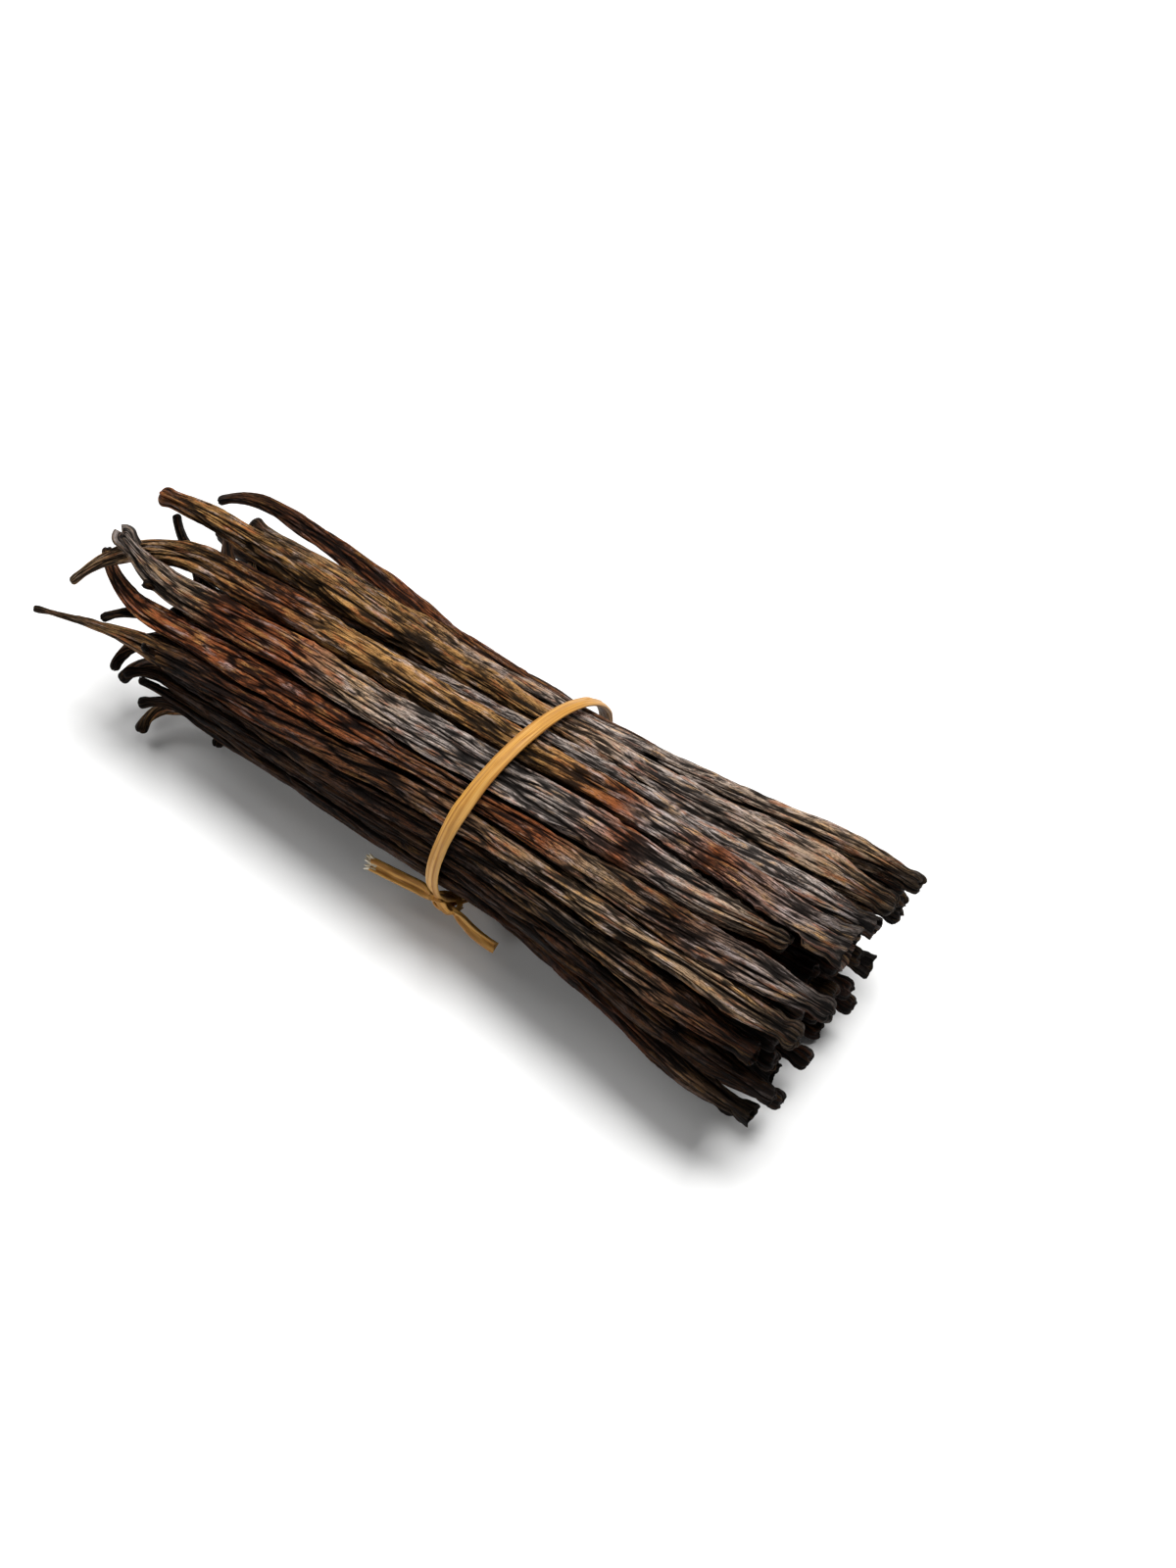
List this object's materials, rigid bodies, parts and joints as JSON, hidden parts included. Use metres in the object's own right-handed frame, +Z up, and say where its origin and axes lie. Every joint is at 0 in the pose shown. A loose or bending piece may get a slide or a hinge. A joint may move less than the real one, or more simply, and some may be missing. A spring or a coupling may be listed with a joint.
{
  "type": "bundle of vanilla pods",
  "caption": "Bundle of dried vanilla pods tied round the middle with a knotted strip of raffia, lying on its side.",
  "frame": {"origin": "on the floor, under the middle of the part's box", "axes": "+X along the bundle from the curled stem ends to the blunt ends, -Y the near side that carries the knot, +Z up"},
  "size_m": [0.1642, 0.0544, 0.0425],
  "materials": {
    "pods": "cured vanilla pod: dark brown, finely wrinkled lengthwise, oily satin",
    "raffia": "raffia strip: golden, fibrous, satin"
  },
  "bodies": {
    "root": {"pods": "pods", "tie": "raffia"}
  },
  "joints": []
}
